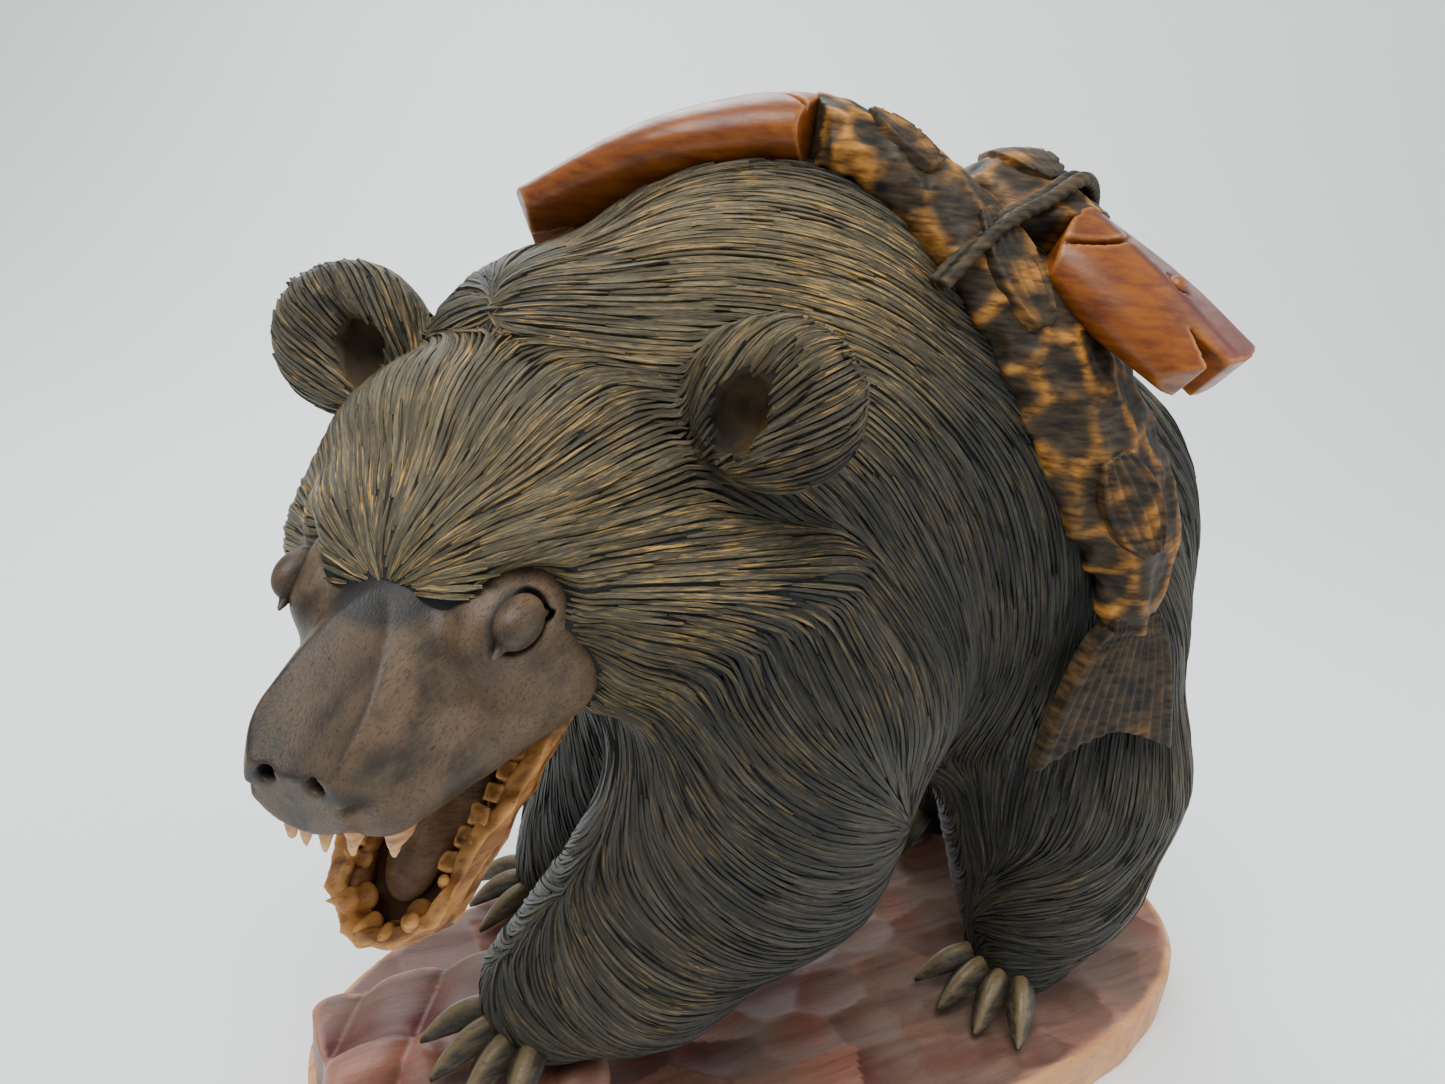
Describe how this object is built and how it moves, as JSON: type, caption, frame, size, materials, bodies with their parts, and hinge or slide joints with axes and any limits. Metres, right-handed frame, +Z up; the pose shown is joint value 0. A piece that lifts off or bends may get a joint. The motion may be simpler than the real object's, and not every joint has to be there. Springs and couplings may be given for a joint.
{
  "type": "carved wooden figurine",
  "caption": "Carved wooden bear on all fours, head turned and mouth open, with salmon roped over its back, on a carved plinth.",
  "frame": {"origin": "centre of the flat underside of the base", "axes": "-X the way the bear walks, +Y the bear's right, +Z up"},
  "size_m": [0.3279, 0.1602, 0.297],
  "materials": {
    "stained_base": "satin, reddish-brown stain over gouge facets",
    "fur": "satin varnish over blackened wood, golden on the ridges",
    "muzzle": "satin, smoothly cut dark walnut brown",
    "raw_wood": "semi-gloss, natural orange-brown wood",
    "tongue": "gloss varnish",
    "claws": "satin, dark olive brown",
    "fish_head": "gloss lacquer, red-brown to orange",
    "fish_body": "satin, scorched charcoal patches over orange-brown",
    "rope": "satin, dark olive brown carved strands"
  },
  "bodies": {
    "root": {"base": "stained_base", "rock_ledge": "stained_base", "torso": "fur", "tail_stub": "fur", "head": "fur", "muzzle": "muzzle", "lower_jaw": "raw_wood", "tongue": "tongue", "upper_teeth": "raw_wood", "lower_teeth": "raw_wood", "left_ear": "fur", "right_ear": "fur", "left_eye": "muzzle", "right_eye": "muzzle", "left_foreleg": "fur", "right_foreleg": "fur", "left_hind_leg": "fur", "right_hind_leg": "fur", "left_fore_claws": "claws", "right_fore_claws": "claws", "left_hind_claws": "claws", "right_hind_claws": "claws", "front_salmon_body": "fish_body", "front_salmon_head": "fish_head", "front_salmon_fins": "fish_body", "front_salmon_tail": "fish_body", "rear_salmon_body": "fish_body", "rear_salmon_head": "fish_head", "rear_salmon_fins": "fish_body", "rear_salmon_tail": "fish_body", "rope": "rope"}
  },
  "joints": []
}
